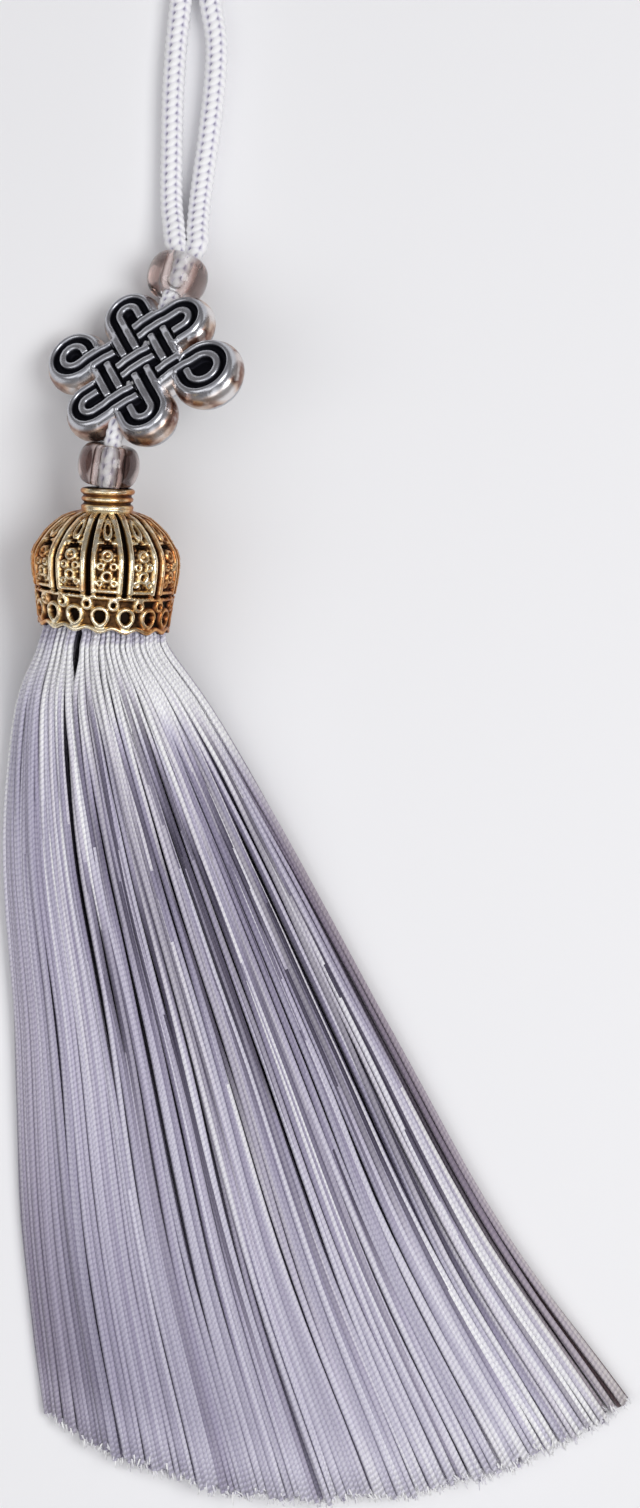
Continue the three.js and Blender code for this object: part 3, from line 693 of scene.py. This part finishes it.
def crown_casting():
    """The crown's chased outside and its plain inside, joined round the rim and the neck."""
    up, radius = np.array(CAP_OUTLINE, float).T
    far = np.concatenate([[0], np.cumsum(np.hypot(np.diff(up), np.diff(radius)))])
    even = np.linspace(0, far[-1], CAP_RINGS)
    up, radius = np.interp(even, far, up), np.interp(even, far, radius)
    kernel = np.array([1, 2, 1]) / 4
    up[1:-1], radius[1:-1] = np.convolve(up, kernel, "valid"), np.convolve(radius, kernel, "valid")
    turn = np.linspace(-math.pi, math.pi, CAP_AROUND, endpoint=False)
    ups, turns = np.meshgrid(up, turn, indexing="ij")
    radii = np.repeat(radius[:, None], CAP_AROUND, axis=1)
    relief = crown_relief(turns, ups, radii)
    between_rings = 1.3 * np.maximum(NECK_REACH - radii, 0)
    low = np.where(ups > PETALS_TO, between_rings, 0.06 - relief)
    scallop = 0.5 + 0.5 * np.cos(SCALLOPS * (turns - SCALLOP_TURN))
    ups = ups - SCALLOP_HANG * scallop * np.clip((CAP_RIM + 1.1 - ups) / 1.1, 0, 1)
    rings = [(radii + relief, ups)]
    for height, reach in CAP_INSIDE:
        hang = SCALLOP_HANG * scallop[:1] * (height == CAP_RIM)
        rings.append((np.full((1, CAP_AROUND), reach), height - hang))
    r = np.vstack([ring[0] for ring in rings])
    z = np.vstack([ring[1] for ring in rings])
    z = z - RIM_ASKEW * r * np.sin(turn) * (1 - smooth_step(z, 3.0, 10.0))
    points = np.stack([r * np.sin(turn), z, r * np.cos(turn)], axis=-1)
    low = np.vstack([low, np.full((len(CAP_INSIDE), CAP_AROUND), 0.5)])
    # Painted shade and reflection: darker and redder towards the crown's two sides and towards the
    # rim on its right.
    painted_shading = smooth_step(np.abs(turn - 0.05), 0.6, 1.4) * 0.27
    painted_shading = painted_shading + 0.2 * smooth_step(turn, 0.1, 0.9) * smooth_step(6.0 - z, 0, 3)
    return points.reshape(-1, 3), closed_faces(len(r), CAP_AROUND), low.ravel(), painted_shading.ravel()


GILT = gilt_material()
crown_points, crown_faces, crown_low, crown_shade_and_reflection = crown_casting()
crown_turn = Vector((0, 1, 0)).rotation_difference(Vector(CAP_AXIS)).to_matrix()
crown_points = crown_points @ np.array(crown_turn).T + CAP_AT + (*LAID, 0)
crown_cast = mesh_piece("crown_cast", crown_points, [f[::-1] for f in crown_faces], GILT)
# The crown's hollows darken as patina; the painted shade and reflection of its sides is added to
# them.
point_values(crown_cast, "hollow_and_shade", np.clip(crown_low / 0.55 + 0.55 * crown_shade_and_reflection, 0, 1))
point_values(crown_cast, "shade_and_reflection", crown_shade_and_reflection)
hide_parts("crown_cap")


# The fringe is several hundred two-ply silk threads, pale lilac, bound and glued into the crown
# and cut straight across. Laid down, they spread into a fan with many fine dark partings.
FAN_ROWS = [
    {"left": (-25.9, 27.5), "right": (-16.2, 27.4), "bulge": 0, "lean": 0.13,
     "low": (6.3, 1.9), "high": (6.9, 11.4)},
    {"left": (-26.9, 24.9), "right": (-15.3, 24.4), "bulge": 0, "lean": 0.13,
     "low": (6.1, 1.1), "high": (6.9, 12.0)},
    {"left": (-27.7, 22.6), "right": (-14.7, 22.4), "bulge": 0.1, "lean": 0.13,
     "low": (5.2, 0.3), "high": (6.6, 12.1)},
    {"left": (-30.2, 16.5), "right": (-10.4, 16.1), "bulge": 0.8, "lean": 0,
     "low": (1.0, 0), "high": (2.6, 8.6)},
    {"left": (-31.4, 2.7), "right": (-2.4, 2.3), "bulge": 1.5, "lean": 0,
     "low": (0, 0), "high": (1.2, 6.2)},
    {"left": (-30.4, -14.4), "right": (7.1, -14.9), "bulge": 3.0, "lean": 0,
     "low": (0, 0), "high": (1.0, 5.1)},
    {"left": (-29.8, -33.7), "right": (18.3, -34.6), "bulge": 5.5, "lean": 0,
     "low": (0, 0), "high": (0.9, 4.4)},
    {"left": (-27.7, -53.2), "right": (31.2, -52.0), "bulge": 9.3, "lean": 0,
     "low": (0, 0), "high": (0.8, 3.6)},
]
THREAD_RADIUS = 0.25
THREAD_SIDES = 5
THREAD_RINGS = 44
THREADS_ACROSS = 124
LAYER_HEIGHT = 1.0
SPREAD_LAYERS = 5
TWIST_PITCH = 0.55
STRONG_PARTINGS = 24
FAINT_PARTINGS = 60
HAIRLINES = 190
RIM_NOTCH_AT = -0.36
FILAMENTS = 4
draw = np.random.default_rng(11)


def fan_points(across, up_share):
    """Where threads pass each row of the fan: an array of threads by rows by three."""
    rows = []
    for k, row in enumerate(FAN_ROWS):
        side = (across[:, k] + 1) / 2
        inward = 1 - across[:, k] ** 2
        arch = np.sqrt(np.clip(inward, 0, 1))
        low = row["low"][0] + (row["low"][1] - row["low"][0]) * arch
        high = row["high"][0] + (row["high"][1] - row["high"][0]) * arch
        z = low + (high - low) * up_share[:, k]
        x = row["left"][0] + (row["right"][0] - row["left"][0]) * side
        y = row["left"][1] + (row["right"][1] - row["left"][1]) * side
        middle = (row["low"][1] + row["high"][1]) / 2
        y = y - row["bulge"] * inward ** 0.85 - row["lean"] * (z - middle)
        rows.append(np.column_stack([x, y, z]))
    return np.stack(rows, axis=1)


def through_rows(points, rings):
    """Smooth curves through each thread's places on the rows, closer together near the crown."""
    count = points.shape[1]
    ends = np.concatenate([2 * points[:, :1] - points[:, 1:2], points,
                           2 * points[:, -1:] - points[:, -2:-1]], axis=1)
    place = (count - 1) * np.linspace(0, 1, rings)
    start = np.minimum(place.astype(int), count - 2)
    t = (place - start)[None, :, None]
    a, b, c, d = (ends[:, start + k] for k in range(4))
    return 0.5 * (2 * b + (c - a) * t + (2 * a - 5 * b + 4 * c - d) * t ** 2
                  + (3 * b - a - 3 * c + d) * t ** 3), place


def fringe_threads():
    """Every thread's line, its place across the fan and how deep in the fan it lies."""
    across, share, deep = [], [], []
    drift = np.linspace(0, 1, len(FAN_ROWS))
    for column in range(THREADS_ACROSS):
        for layer in range(SPREAD_LAYERS):
            middle = -1 + 2 * (column + 0.5 + 0.5 * (layer % 2)) / (THREADS_ACROSS + 0.5)
            arch = math.sqrt(max(0.0, 1 - middle ** 2))
            layers = max(1, round((1.0 + 4.1 * arch) / LAYER_HEIGHT))
            if layer >= layers or (layer < layers - 2 and column % 3 == 0):
                continue
            sub = (column * 2 + layer) % 5
            at_rim = (layer + (sub + 0.5) / 5) / layers
            in_fan = (layer + 0.5) / layers
            stray = layer == layers - 1 and draw.random() < 0.05
            lean = draw.normal(0, 0.07) if stray else draw.normal(0, 0.004)
            lift = 0.12 if stray else 0.0
            place = middle + draw.normal(0, 0.3) / THREADS_ACROSS + lean * (drift - 0.55)
            across.append(np.clip(place, -0.998, 0.998))
            share.append(np.array([at_rim, at_rim, at_rim, 0.6 * at_rim + 0.4 * in_fan,
                                   in_fan, in_fan, in_fan, in_fan]) + lift)
            deep.append(1 - (layer + 1) / layers)
    across, share = np.array(across), np.array(share)
    lines, place = through_rows(fan_points(across, share), THREAD_RINGS)
    return across[:, 4], np.array(deep), lines, place / (len(FAN_ROWS) - 1)


def part_threads(across, deep, lines, along):
    """Draws the threads apart at the fan's partings, more for the upper ones, and paints shade
    into the partings and along fine hairlines.
    """
    shift = np.zeros(lines.shape[:2])
    dark = np.zeros(lines.shape[:2])
    hairlines = np.zeros(lines.shape[:2])
    # Hairlines are painted shade: fine dark lines along the threads.
    for k in range(HAIRLINES):
        at = -0.96 + 1.92 * (k + draw.uniform(0, 1)) / HAIRLINES
        start = draw.uniform(0.3, 0.6)
        end = start + draw.uniform(0.2, 0.6)
        fade = smooth_step(along, start, start + 0.1) * smooth_step(end - along, 0, 0.15)
        near = np.exp(-((across - at) / 0.007) ** 2)
        hairlines += draw.uniform(0.2, 0.8) * (0.35 + 0.65 * smooth_step(at, -0.7, -0.1)) * (
            near[:, None] * fade[None, :])
    partings = [(RIM_NOTCH_AT, 0.05, 0.42, 0.62, 0.05)]
    for k in range(STRONG_PARTINGS):
        partings.append((-0.5 + 1.42 * (k + draw.uniform(0.1, 0.9)) / STRONG_PARTINGS,
                         draw.uniform(0.3, 0.5),
                         draw.uniform(0.76, 1.0), draw.uniform(0.12, 0.34), 0.035))
    for _ in range(FAINT_PARTINGS):
        partings.append((draw.uniform(-0.97, 0.97), draw.uniform(0.22, 0.7),
                         draw.uniform(0.7, 1.0), draw.uniform(0.06, 0.18), 0.02))
    for at, start, end, strength, reach in partings:
        fade = smooth_step(along, start, start + 0.12) * smooth_step(end - along, 0, 0.15)
        away = across - at
        push = np.sign(away) * np.exp(-np.abs(away) / reach)
        shift += strength * push[:, None] * fade[None, :]
        # Painted shade in each parting, kept to the threads below the top layer.
        dark += 1.7 * strength * (np.exp(-np.abs(away) / 0.02))[:, None] * fade[None, :]
    shift *= (1 - 0.8 * deep)[:, None]
    dark = np.clip(dark * (deep > 0)[:, None] + hairlines, 0, 1)
    chord = np.array([FAN_ROWS[5]["right"][k] - FAN_ROWS[5]["left"][k] for k in (0, 1)])
    chord = chord / np.linalg.norm(chord)
    lines[..., 0] += shift * chord[0]
    lines[..., 1] += shift * chord[1]
    waves = np.zeros(lines.shape[:2] + (2,))
    for cycles in (1.5, 4.0, 9.0):
        phase = draw.uniform(0, 2 * math.pi, (len(lines), 2))
        size = draw.normal(0, 0.16 / cycles, (len(lines), 2))
        waves += size[:, None, :] * np.sin(2 * math.pi * cycles * along[None, :, None]
                                           + phase[:, None, :])
    lines[..., 0] += waves[..., 0] * np.clip(along * 3 - 0.5, 0, 1)
    lines[..., 2] += 0.35 * waves[..., 1] * np.clip(along * 3 - 0.5, 0, 1)
    return lines, dark


def thread_tones(across, along):
    """How pale each thread is at each ring: its own tone, streaked below, even at the end, and a
    painted highlight below the crown.
    """
    own = draw.uniform(0, 1, len(across))[:, None]
    own = own + 0.14 * np.sin(9 * along[None, :] + draw.uniform(0, 2 * math.pi, (len(across), 1)))
    side = across[:, None]
    streaks = 0.35 + 0.5 * smooth_step(along[None, :], 0.3, 0.42)
    streaks = streaks * (1 - 0.65 * smooth_step(along[None, :] - 0.22 * side, 0.62, 0.95))
    tones_and_highlights = 0.62 + (own - 0.5) * streaks
    tones_and_highlights += (0.3 * side - 0.12) * smooth_step(along[None, :], 0.72, 0.95)
    tones_and_highlights -= 0.1 * smooth_step(along[None, :], 0.45, 0.6)
    tones_and_highlights += 0.14 * smooth_step(along[None, :], 0.95, 0.985)
    # Painted highlight: the threads just below the crown are made paler, most of all towards the
    # right.
    painted_highlight = smooth_step(along, 0.2, 0.29) * (1 - smooth_step(along, 0.34, 0.5))
    return tones_and_highlights + painted_highlight[None, :] * (0.3 + 0.9 * smooth_step(side, -0.75, 0.3))


def thread_warmth(across, deep, along):
    """How much brown each thread takes from the shade at the fan's two edges."""
    below = smooth_step(along, 0.42, 0.6)[None, :]
    left = 0.14 * smooth_step(-across, 0.7, 0.97)[:, None] * smooth_step(along, 0.5, 0.75)[None, :]
    right = smooth_step(across, 0.88, 0.97)[:, None] * (0.5 + 0.5 * (deep > 0))[:, None]
    return np.maximum(left, 0.9 * right * below)


def trim_ends(across, lines):
    """Shortens each thread a little, as a cut fringe is never quite even."""
    wavy = 0.4 * np.sin(across * 19) + 0.3 * np.sin(across * 47 + 1)
    short = np.clip(0.6 + 0.5 * wavy + draw.normal(0, 0.25, len(lines)), 0, 3)
    last = lines[:, -1] - lines[:, -6]
    length = np.linalg.norm(last, axis=1)
    for k in range(1, 6):
        share = (short / length * (1 - (k - 1) / 5))[:, None]
        lines[:, -k] -= last * share
    return lines


def thread_tubes(name, lines, deep, dark, tones_and_highlights, warmth, material):
    """One mesh of thin tubes, with a map of the way round and the way along each thread."""
    threads, rings = lines.shape[:2]
    tangent = np.gradient(lines, axis=1)
    tangent /= np.linalg.norm(tangent, axis=2)[..., None]
    across = np.cross(tangent, (0, 0, 1.0))
    across /= np.linalg.norm(across, axis=2)[..., None]
    up = np.cross(across, tangent)
    turn = np.linspace(0, 2 * math.pi, THREAD_SIDES, endpoint=False)
    thick = THREAD_RADIUS * (1 + draw.normal(0, 0.06, threads))[:, None] * np.ones(rings)
    thick *= np.interp(np.arange(rings), [0, 14, 30, rings - 3, rings - 1],
                       [0.8, 0.9, 1.1, 1.35, 1.1])[None, :]
    lines[..., 2] = np.maximum(lines[..., 2], thick)
    ring = (across[:, :, None, :] * np.cos(turn)[None, None, :, None]
            + up[:, :, None, :] * np.sin(turn)[None, None, :, None])
    points = lines[:, :, None, :] + thick[:, :, None, None] * ring
    base = grid_faces(rings, THREAD_SIDES)[:, ::-1]
    start = np.arange(threads)[:, None, None] * rings * THREAD_SIDES
    sides = (base[None] + start).reshape(-1, 4)
    cut = (start[:, 0] + (rings - 1) * THREAD_SIDES + np.arange(THREAD_SIDES)[::-1]).tolist()
    piece = mesh_piece(name, points.reshape(-1, 3), sides.tolist() + cut, material)
    far = np.concatenate([np.zeros((threads, 1)), np.cumsum(
        np.linalg.norm(np.diff(lines, axis=1), axis=2), axis=1)], axis=1)
    level, side = np.meshgrid(np.arange(rings - 1), np.arange(THREAD_SIDES), indexing="ij")
    level, side = level.ravel(), side.ravel()
    u = np.stack([side, side + 1, side + 1, side], axis=1) / THREAD_SIDES
    v = np.stack([level + 1, level + 1, level, level], axis=1)
    start = draw.uniform(0, TWIST_PITCH, threads)[:, None, None]
    maps = np.stack([np.broadcast_to(u, (threads, *u.shape)), far[:, v] + start], axis=-1)
    maps = np.concatenate([maps.ravel(), np.full(2 * threads * THREAD_SIDES, 0.1)])
    layer = piece.data.uv_layers.new(name="thread")
    layer.data.foreach_set("uv", maps.astype(np.float32))
    point_values(piece, "tone_and_highlight", np.repeat(tones_and_highlights.ravel(), THREAD_SIDES))
    point_values(piece, "warm", np.repeat(warmth.ravel(), THREAD_SIDES))
    # Painted shade: darker for threads that lie lower in the fan, and in the partings and
    # hairlines.
    shade = np.maximum(np.repeat(deep[:, None], rings, axis=1), dark)
    point_values(piece, "deep", np.repeat(shade.ravel(), THREAD_SIDES))
    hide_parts("fringe")


def silk_material():
    """Two-ply silk: slanting plies along each thread, a soft sheen and a tone of its own, with
    painted highlight and painted shade.
    """
    material, tree, shader, add = new_material("silk_thread")
    lay = add("ShaderNodeUVMap", uv_map="thread")
    split = add("ShaderNodeSeparateXYZ")
    tree.links.new(lay.outputs[0], split.inputs[0])

    def math_node(operation, first, second):
        node = add("ShaderNodeMath", operation=operation)
        for socket, value in zip(node.inputs, (first, second)):
            if isinstance(value, (int, float)):
                socket.default_value = value
            else:
                tree.links.new(value, socket)
        return node.outputs[0]

    along = math_node("MULTIPLY", split.outputs["Y"], 2 * math.pi / TWIST_PITCH)
    around = math_node("MULTIPLY", split.outputs["X"], 2 * math.pi)
    turn = math_node("ADD", along, around)
    ply = math_node("MULTIPLY", math_node("ADD", math_node("SINE", turn, 0.0), 1.0), 0.5)
    tone_and_highlight = read_values(add, "tone_and_highlight")
    deep = read_values(add, "deep")
    light = ramp(add, tree, tone_and_highlight, [
        (0.0, (0.26, 0.24, 0.33)), (0.25, (0.47, 0.445, 0.56)), (0.6, (0.74, 0.72, 0.82)),
        (0.9, (1.0, 1.0, 1.0))])
    # Painted shade: the lower a thread lies in the fan, or the deeper in a parting, the darker it
    # is coloured.
    dark = ramp(add, tree, deep, [
        (0.0, (1, 1, 1)), (0.3, (0.78, 0.75, 0.82)), (0.85, (0.1, 0.085, 0.13))])
    shaded = add("ShaderNodeMix", data_type="RGBA", blend_type="MULTIPLY")
    shaded.inputs["Factor"].default_value = 1.0
    # Painted shade at the fan's two edges, in brown.
    warmed = add("ShaderNodeMix", data_type="RGBA")
    warmed.inputs["B"].default_value = (0.17, 0.07, 0.065, 1)
    tree.links.new(read_values(add, "warm"), warmed.inputs["Factor"])
    tree.links.new(light, warmed.inputs["A"])
    tree.links.new(warmed.outputs["Result"], shaded.inputs["A"])
    tree.links.new(dark, shaded.inputs["B"])
    # Painted shade in the grooves between the two plies, on top of their bump.
    plies = ramp(add, tree, ply, [(0.0, (0.78, 0.77, 0.82)), (0.5, (1.0, 1.0, 1.0))])
    twisted = add("ShaderNodeMix", data_type="RGBA", blend_type="MULTIPLY")
    twisted.inputs["Factor"].default_value = 1.0
    tree.links.new(shaded.outputs["Result"], twisted.inputs["A"])
    tree.links.new(plies, twisted.inputs["B"])
    raise_grain(add, tree, shader, ply, 0.6, 0.0001)
    tree.links.new(twisted.outputs["Result"], shader.inputs["Base Color"])
    shader.inputs["Roughness"].default_value = 0.42
    shader.inputs["Sheen Weight"].default_value = 0.35
    shader.inputs["Sheen Roughness"].default_value = 0.4
    return material


SILK = silk_material()
across, deep, lines, along = fringe_threads()
lines, dark = part_threads(across, deep, lines, along)
lines = trim_ends(across, lines) + (*LAID, 0)
tones_and_highlights, warmth = thread_tones(across, along), thread_warmth(across, deep, along)
order = np.argsort(across)
for number, chosen in enumerate(np.array_split(order, 3), start=1):
    thread_tubes(f"silk_threads_{number}", lines[chosen], deep[chosen], dark[chosen],
                 tones_and_highlights[chosen], warmth[chosen], SILK)


def frayed_ends(lines):
    """The loose filaments at the threads' cut ends."""
    points, faces = [], []
    ring = np.linspace(0, 2 * math.pi, 3, endpoint=False)
    for line in lines:
        ahead = (line[-1] - line[-3]) / np.linalg.norm(line[-1] - line[-3])
        for _ in range(FILAMENTS):
            way = ahead + draw.normal(0, 0.3, 3) * (1, 1, 0.4)
            start = line[-1] - 0.4 * ahead + draw.normal(0, 0.12, 3)
            long = draw.uniform(0.45, 0.85)
            first = len(points)
            for share, thick in ((0, 0.13), (0.6, 0.12), (1, 0.05)):
                centre = start + way * long * share
                centre[2] = max(centre[2], thick)
                for turn in ring:
                    points.append(centre + (thick * math.cos(turn), 0, thick * math.sin(turn)))
            for level in (0, 1):
                for k in range(3):
                    a, b = first + 3 * level + k, first + 3 * level + (k + 1) % 3
                    faces.append([a, b, b + 3, a + 3])
            faces.append([first + 6, first + 7, first + 8])
    piece = mesh_piece("silk_cut_ends", np.array(points), faces, SILK)
    point_values(piece, "tone_and_highlight", np.repeat(draw.uniform(0.7, 1, len(points) // 9), 9))
    layer = piece.data.uv_layers.new(name="thread")
    layer.data.foreach_set("uv", np.full(2 * len(piece.data.loops), 0.1, np.float32))
    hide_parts("fringe")


frayed_ends(lines)


# The tassel lies on a plain pale surface. Three soft lamps and a pale room light it from above,
# as in the photograph.
def studio():
    """The floor, three soft lamps and a pale room that is a little darker low down."""
    floor = bpy.data.objects.new("floor", bpy.data.meshes.new("floor"))
    reach = 20
    corners = [(-reach, -reach, 0), (reach, -reach, 0), (reach, reach, 0), (-reach, reach, 0)]
    floor.data.from_pydata(corners, [], [(0, 1, 2, 3)])
    bpy.context.scene.collection.objects.link(floor)
    material, _, shader, _ = new_material("pale_floor")
    shader.inputs["Base Color"].default_value = (0.93, 0.93, 0.94, 1)
    shader.inputs["Roughness"].default_value = 0.9
    floor.data.materials.append(material)
    for name, place, size, power in (
            ("key", (0.25, 0.02, 0.42), 0.25, 1.15),
            ("fill", (-0.32, -0.10, 0.38), 0.35, 0.45),
            ("top", (0.0, -0.30, 0.5), 0.3, 0.35)):
        lamp = bpy.data.objects.new(name, bpy.data.lights.new(name, "AREA"))
        lamp.data.energy = power
        lamp.data.size = size
        lamp.location = place
        lamp.rotation_euler = (-Vector(place)).to_track_quat("-Z", "Y").to_euler()
        bpy.context.scene.collection.objects.link(lamp)
    world = bpy.data.worlds.new("studio")
    bpy.context.scene.world = world
    world.use_nodes = True
    tree = world.node_tree
    place = tree.nodes.new("ShaderNodeTexCoord")
    split = tree.nodes.new("ShaderNodeSeparateXYZ")
    band = tree.nodes.new("ShaderNodeValToRGB")
    stops = [(0.5, (0.45, 0.43, 0.44)), (0.8, (0.95, 0.95, 1.0))]
    for element, (at, colour) in zip(band.color_ramp.elements, stops):
        element.position = at
        element.color = (*colour, 1)
    tree.links.new(place.outputs["Generated"], split.inputs[0])
    tree.links.new(split.outputs["Z"], band.inputs["Fac"])
    tree.links.new(band.outputs["Color"], tree.nodes["Background"].inputs["Color"])
    tree.nodes["Background"].inputs["Strength"].default_value = 0.45


studio()
bpy.context.scene.view_settings.view_transform = "Standard"
